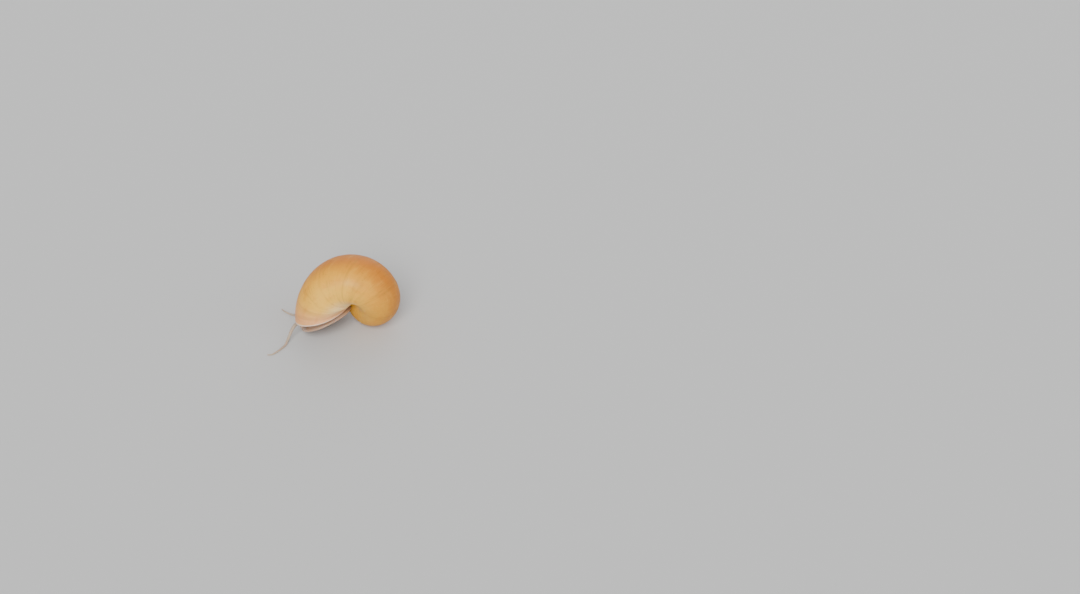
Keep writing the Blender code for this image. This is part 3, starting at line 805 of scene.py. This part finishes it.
def lidMaterial(p):
    made, shader, start = newMaterial("hornBrown", {"IOR": 1.5, "Coat Weight": 0.2, "Coat Roughness": 0.3})
    place = objectPlace(start)
    growth = start.node("Attribute", {"attribute_name": "growth"}, None, "Vector")
    size = growth.parts()[2]
    lines = growth.stretch(0.5, 0.5, 34.0).noise(1.0, 3.0, 0.6)
    fine = growth.stretch(1.2, 1.2, 130.0).noise(1.0, 2.0, 0.5)
    broad = place.noise(260.0, 3.0)
    skin = start.plain(p["brown"]).blend(p["red"], lines.smooth(0.45, 0.68) * 0.8)
    skin = skin.blend(p["dark"], lines.fall(0.28, 0.44) * 0.7)
    skin = skin.blend(p["dark"], fine.smooth(0.56, 0.72) * 0.3)
    skin = skin.blend(p["red"], broad.smooth(0.5, 0.7) * 0.35)
    skin = skin.blend(p["dark"], size.fall(0.05, 0.4) * 0.45)
    skin = skin.blend(p["edge"], size.smooth(0.93, 0.995) * 0.8)
    relief = lines * 0.7 + fine * 0.35
    bump = start.node("Bump", None, {"Strength": 0.5, "Distance": 0.00008, "Height": relief})
    feed(shader, Base_Color=skin, Roughness=0.38 + lines * 0.2, Normal=bump)
    return made


lid = buildLid(lidSet)
lid.data.materials.append(lidMaterial(lidPaint))
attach(lid, "root")
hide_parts("operculum")
print("operculum built,", len(lid.data.polygons), "faces")


# Eyes: a dark ball with a faint golden ring round the pupil, a little fuller in front

# past is how far the middle lies past the stalk's end, as a share of the radius
eyeSet = {"radius": 0.45, "bulge": 0.03, "past": 0.3, "sides": 40, "rings": 24}


def eyePlace(rows, e):
    # the middle of the eye and the way it looks, from the end of its stalk
    tip, before = Vector(rows[-1][:3]), Vector(rows[-2][:3])
    ahead = (tip - before).normalized()
    return spot(*(tip + ahead * e["radius"] * e["past"])), ahead


def buildEye(name, rows, e):
    middle, ahead = eyePlace(rows, e)
    bm = bmesh.new()
    bmesh.ops.create_uvsphere(bm, u_segments=e["sides"], v_segments=e["rings"], radius=1.0)
    gaze = bm.verts.layers.float_vector.new("gaze")
    turned = ahead.to_track_quat("Z", "Y").to_matrix()
    for v in bm.verts:
        front = max(0.0, v.co.z)
        v[gaze] = tuple(v.co)
        v.co = middle + turned @ v.co * (e["radius"] * (1.0 + e["bulge"] * front ** 6)) * mm
    return addPiece(name, bm)


eyePaint = {
    "black": colour(0.006, 0.005, 0.006),
    "gold": colour(0.26, 0.15, 0.05),
    "grey": colour(0.16, 0.11, 0.085),
}


def eyeMaterial(p):
    made, shader, start = newMaterial("eyeDark", {"IOR": 1.4, "Coat Weight": 1.0, "Coat Roughness": 0.02})
    gaze = start.node("Attribute", {"attribute_name": "gaze"}, None, "Vector")
    front = gaze.parts()[2]
    flecks = gaze.noise(9.0, 3.0, 0.7)
    ring = front.smooth(0.50, 0.66) * front.fall(0.70, 0.82)
    skin = start.plain(p["black"]).blend(p["gold"], ring * flecks.smooth(0.25, 0.65))
    skin = skin.blend(p["grey"], front.fall(0.1, 0.5) * 0.7)
    feed(shader, Base_Color=skin, Roughness=0.12 + flecks * 0.12)
    return made


eyeDark = eyeMaterial(eyePaint)
for side, rows in zip(("left", "right"), bodySet["stalks"]):
    eye = buildEye("eyeball_" + side, rows, eyeSet)
    eye.data.materials.append(eyeDark)
    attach(eye, "root")
    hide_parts("eye_" + side)
print("eyes built")


# Floor and light

studioSet = {
    "floor": colour(0.61, 0.61, 0.60), "floorSize": 60.0,
    "horizon": colour(0.785, 0.785, 0.775), "zenith": colour(0.36, 0.37, 0.39),
    "skyRise": (0.05, 0.8),  # the heights between which the sky dims
    # the way each light comes from, its strength, and how wide it is in degrees
    "lights": {"key": ((-0.18, -0.90, 0.78), 3.1, 34.0), "fill": ((0.8, -0.45, 0.5), 0.45, 60.0),
               "back": ((0.15, 0.85, 0.55), 0.75, 60.0)},
}


def buildFloor(s):
    bm = bmesh.new()
    bmesh.ops.create_grid(bm, x_segments=1, y_segments=1, size=s["floorSize"])
    floor = addPiece("floor", bm)
    finish = {"Base Color": s["floor"], "Roughness": 0.75, "Specular IOR Level": 0.2}
    floor.data.materials.append(newMaterial("floorPale", finish)[0])


def addLights(s):
    for name, (place, strength, wide) in s["lights"].items():
        data = bpy.data.lights.new(name, "SUN")
        data.energy = strength
        data.angle = math.radians(wide)
        light = bpy.data.objects.new(name, data)
        bpy.context.scene.collection.objects.link(light)
        light.location = place
        light.rotation_mode = "QUATERNION"
        light.rotation_quaternion = Vector(place).to_track_quat("Z", "Y")


def buildWorld(s):
    # a plain studio: about as bright at the horizon as the floor is, dimmer overhead
    world = bpy.data.worlds.new("studio")
    world.use_nodes = True
    start = Wire(world.node_tree)
    height = start.node("TexCoord", None, None, "Generated").parts()[2]
    sky = start.plain(s["horizon"]).blend(s["zenith"], height.smooth(*s["skyRise"]))
    back = world.node_tree.nodes["Background"]
    world.node_tree.links.new(sky.socket, back.inputs["Color"])
    back.inputs["Strength"].default_value = 1.0
    bpy.context.scene.world = world


buildFloor(studioSet)
buildWorld(studioSet)
addLights(studioSet)
print("floor and light set")
